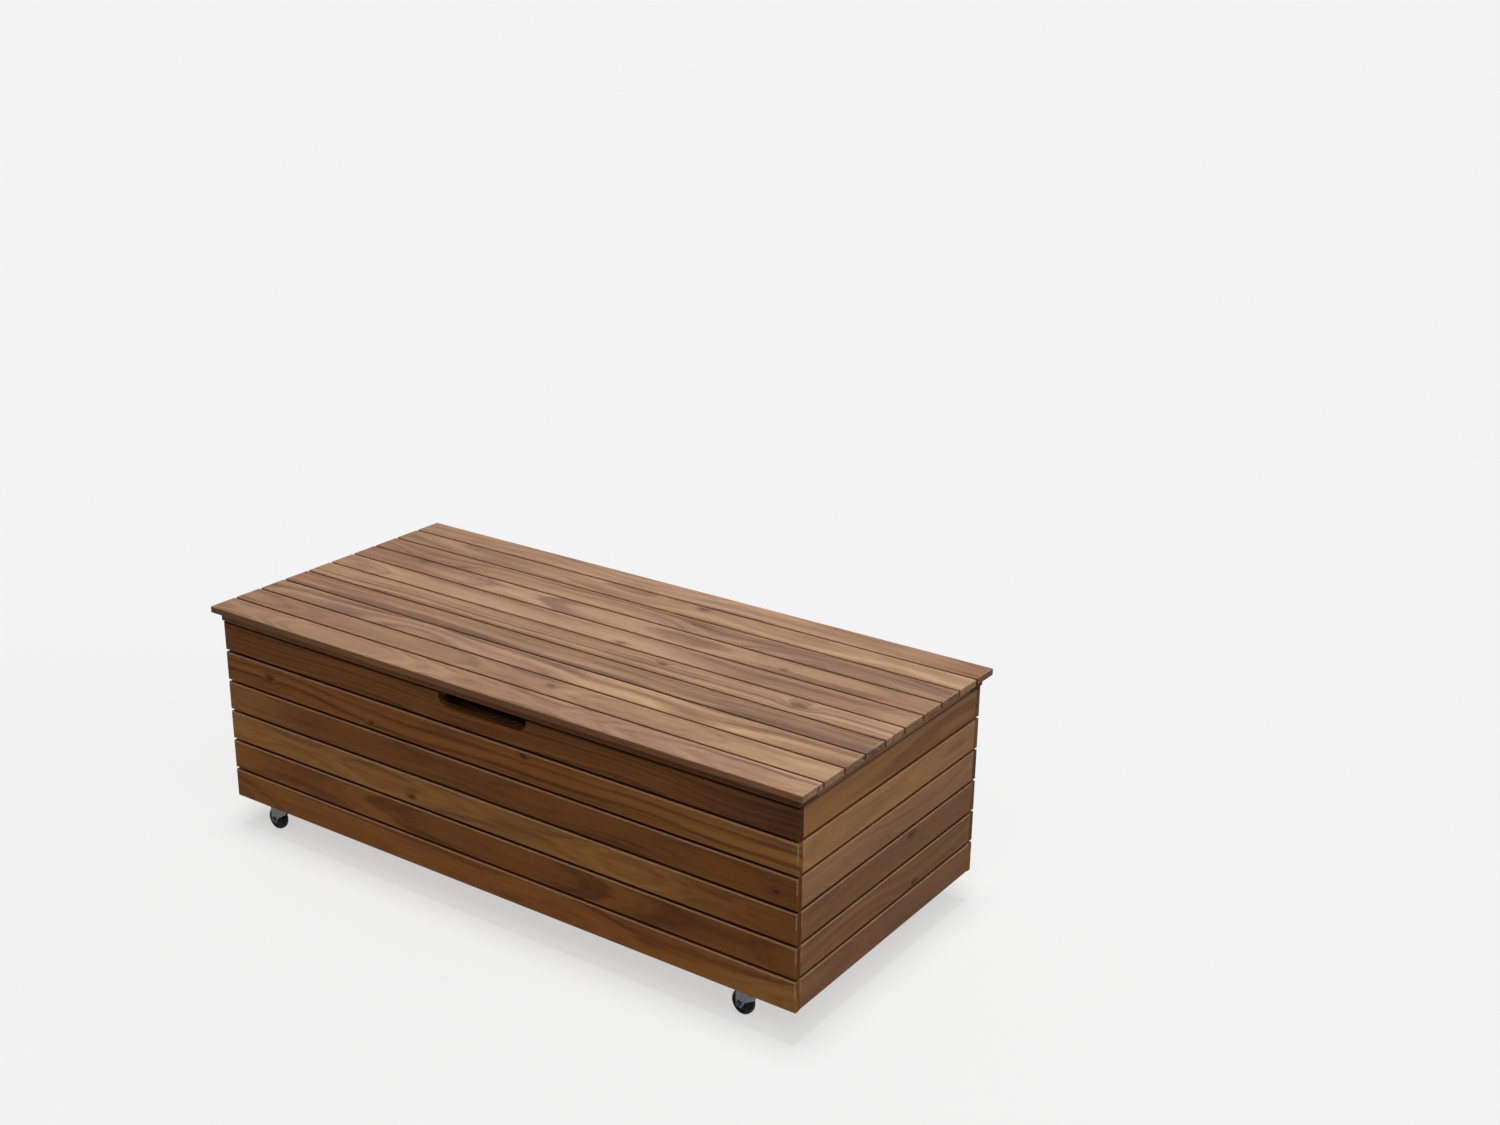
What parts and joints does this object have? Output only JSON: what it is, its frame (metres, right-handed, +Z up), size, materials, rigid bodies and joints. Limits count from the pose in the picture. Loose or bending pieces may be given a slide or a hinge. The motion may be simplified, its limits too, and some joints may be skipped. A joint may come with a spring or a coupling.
{
  "type": "deck storage box",
  "caption": "Low slatted wooden storage box on swivel casters, with a hinged overhanging slatted lid, a hand notch in the front and slotted lid stays.",
  "frame": {"origin": "on the floor, under the middle of the lid", "axes": "+X runs along the box to its right-hand end, +Y to the hinged back, +Z up"},
  "size_m": [1.06, 0.486, 0.366],
  "materials": {
    "lid_wood": "oiled acacia, satin, tan to red-brown board by board",
    "front_wood": "oiled acacia, satin, mid to dark brown",
    "side_wood": "oiled acacia, satin, warm brown",
    "lid_frame_wood": "oiled acacia, satin",
    "frame_wood": "oiled acacia, planed",
    "floor_wood": "oiled acacia, planed",
    "screw_steel": "zinc plated",
    "hinge_steel": "zinc plated",
    "stay_steel": "zinc plated, satin",
    "caster_steel": "bright zinc, pressed",
    "wheel_plastic": "moulded black, satin",
    "bumper_rubber": "soft pad"
  },
  "bodies": {
    "box": {"front_slat_1": "front_wood", "front_slat_2": "front_wood", "front_slat_3": "front_wood", "front_slat_4": "front_wood", "front_slat_5": "front_wood", "front_slat_6": "front_wood", "back_slats": "front_wood", "left_slats": "side_wood", "right_slats": "side_wood", "corner_posts": "frame_wood", "wall_stiles": "frame_wood", "hinge_rail": "frame_wood", "floor_frame": "frame_wood", "floor_boards": "floor_wood", "wall_screws": "screw_steel", "floor_screws": "screw_steel", "hinge_leaf_box": "hinge_steel", "hinge_screws_box": "screw_steel", "hinge_pins": "hinge_steel", "stay_studs": "stay_steel", "lid_bumpers": "bumper_rubber", "caster_plates": "caster_steel", "caster_screws": "screw_steel", "caster_kingpins": "caster_steel"},
    "lid": {"lid_slat_01": "lid_wood", "lid_slat_02": "lid_wood", "lid_slat_03": "lid_wood", "lid_slat_04": "lid_wood", "lid_slat_05": "lid_wood", "lid_slat_06": "lid_wood", "lid_slat_07": "lid_wood", "lid_slat_08": "lid_wood", "lid_slat_09": "lid_wood", "lid_slat_10": "lid_wood", "lid_rail_front": "lid_frame_wood", "lid_rail_back": "lid_frame_wood", "lid_rail_left": "lid_frame_wood", "lid_rail_right": "lid_frame_wood", "lid_battens": "lid_frame_wood", "lid_screws": "screw_steel", "hinge_leaf_lid": "hinge_steel", "hinge_screws_lid": "screw_steel", "stay_brackets": "stay_steel", "stay_rivets": "stay_steel", "stay_screws": "screw_steel"},
    "stay_left": {"stay_arm_left": "stay_steel"},
    "stay_right": {"stay_arm_right": "stay_steel"},
    "caster_front_left": {"caster_fork_front_left": "caster_steel", "caster_axle_front_left": "caster_steel"},
    "wheel_front_left": {"caster_wheel_front_left": "wheel_plastic"},
    "caster_front_right": {"caster_fork_front_right": "caster_steel", "caster_axle_front_right": "caster_steel"},
    "wheel_front_right": {"caster_wheel_front_right": "wheel_plastic"},
    "caster_back_left": {"caster_fork_back_left": "caster_steel", "caster_axle_back_left": "caster_steel"},
    "wheel_back_left": {"caster_wheel_back_left": "wheel_plastic"},
    "caster_back_right": {"caster_fork_back_right": "caster_steel", "caster_axle_back_right": "caster_steel"},
    "wheel_back_right": {"caster_wheel_back_right": "wheel_plastic"}
  },
  "joints": [
    {"name": "lid_hinge", "type": "hinge", "parent": "box", "child": "lid", "pos_m": [0, 0.237, 0.341], "axis": [-1, 0, 0], "range_deg": [0, 95]},
    {"name": "stay_pivot_left", "type": "hinge", "parent": "lid", "child": "stay_left", "pos_m": [-0.4997, 0.09319, 0.333], "axis": [-1, 0, 0], "range_deg": [-47.5, 0]},
    {"name": "stay_pivot_right", "type": "hinge", "parent": "lid", "child": "stay_right", "pos_m": [0.4997, 0.09319, 0.333], "axis": [-1, 0, 0], "range_deg": [-47.5, 0]},
    {"name": "swivel_front_left", "type": "hinge", "parent": "box", "child": "caster_front_left", "pos_m": [-0.44, -0.2065, 0.0405], "axis": [0, 0, 1], "continuous": true},
    {"name": "wheel_spin_front_left", "type": "hinge", "parent": "caster_front_left", "child": "wheel_front_left", "pos_m": [-0.45995, -0.2051, 0.018], "axis": [0.0698, 0.9976, 0], "continuous": true},
    {"name": "swivel_front_right", "type": "hinge", "parent": "box", "child": "caster_front_right", "pos_m": [0.44, -0.2065, 0.0405], "axis": [0, 0, 1], "continuous": true},
    {"name": "wheel_spin_front_right", "type": "hinge", "parent": "caster_front_right", "child": "wheel_front_right", "pos_m": [0.42025, -0.20337, 0.018], "axis": [0.1564, 0.9877, 0], "continuous": true},
    {"name": "swivel_back_left", "type": "hinge", "parent": "box", "child": "caster_back_left", "pos_m": [-0.44, 0.2065, 0.0405], "axis": [0, 0, 1], "continuous": true},
    {"name": "wheel_spin_back_left", "type": "hinge", "parent": "caster_back_left", "child": "wheel_back_left", "pos_m": [-0.45989, 0.20859, 0.018], "axis": [0.1045, 0.9945, 0], "continuous": true},
    {"name": "swivel_back_right", "type": "hinge", "parent": "box", "child": "caster_back_right", "pos_m": [0.44, 0.2065, 0.0405], "axis": [0, 0, 1], "continuous": true},
    {"name": "wheel_spin_back_right", "type": "hinge", "parent": "caster_back_right", "child": "wheel_back_right", "pos_m": [0.42001, 0.2072, 0.018], "axis": [0.0349, 0.9994, 0], "continuous": true}
  ],
  "couplings": [
    {"joint": "stay_pivot_left", "follows": "lid_hinge", "ratio": -0.5},
    {"joint": "stay_pivot_right", "follows": "lid_hinge", "ratio": -0.5}
  ]
}
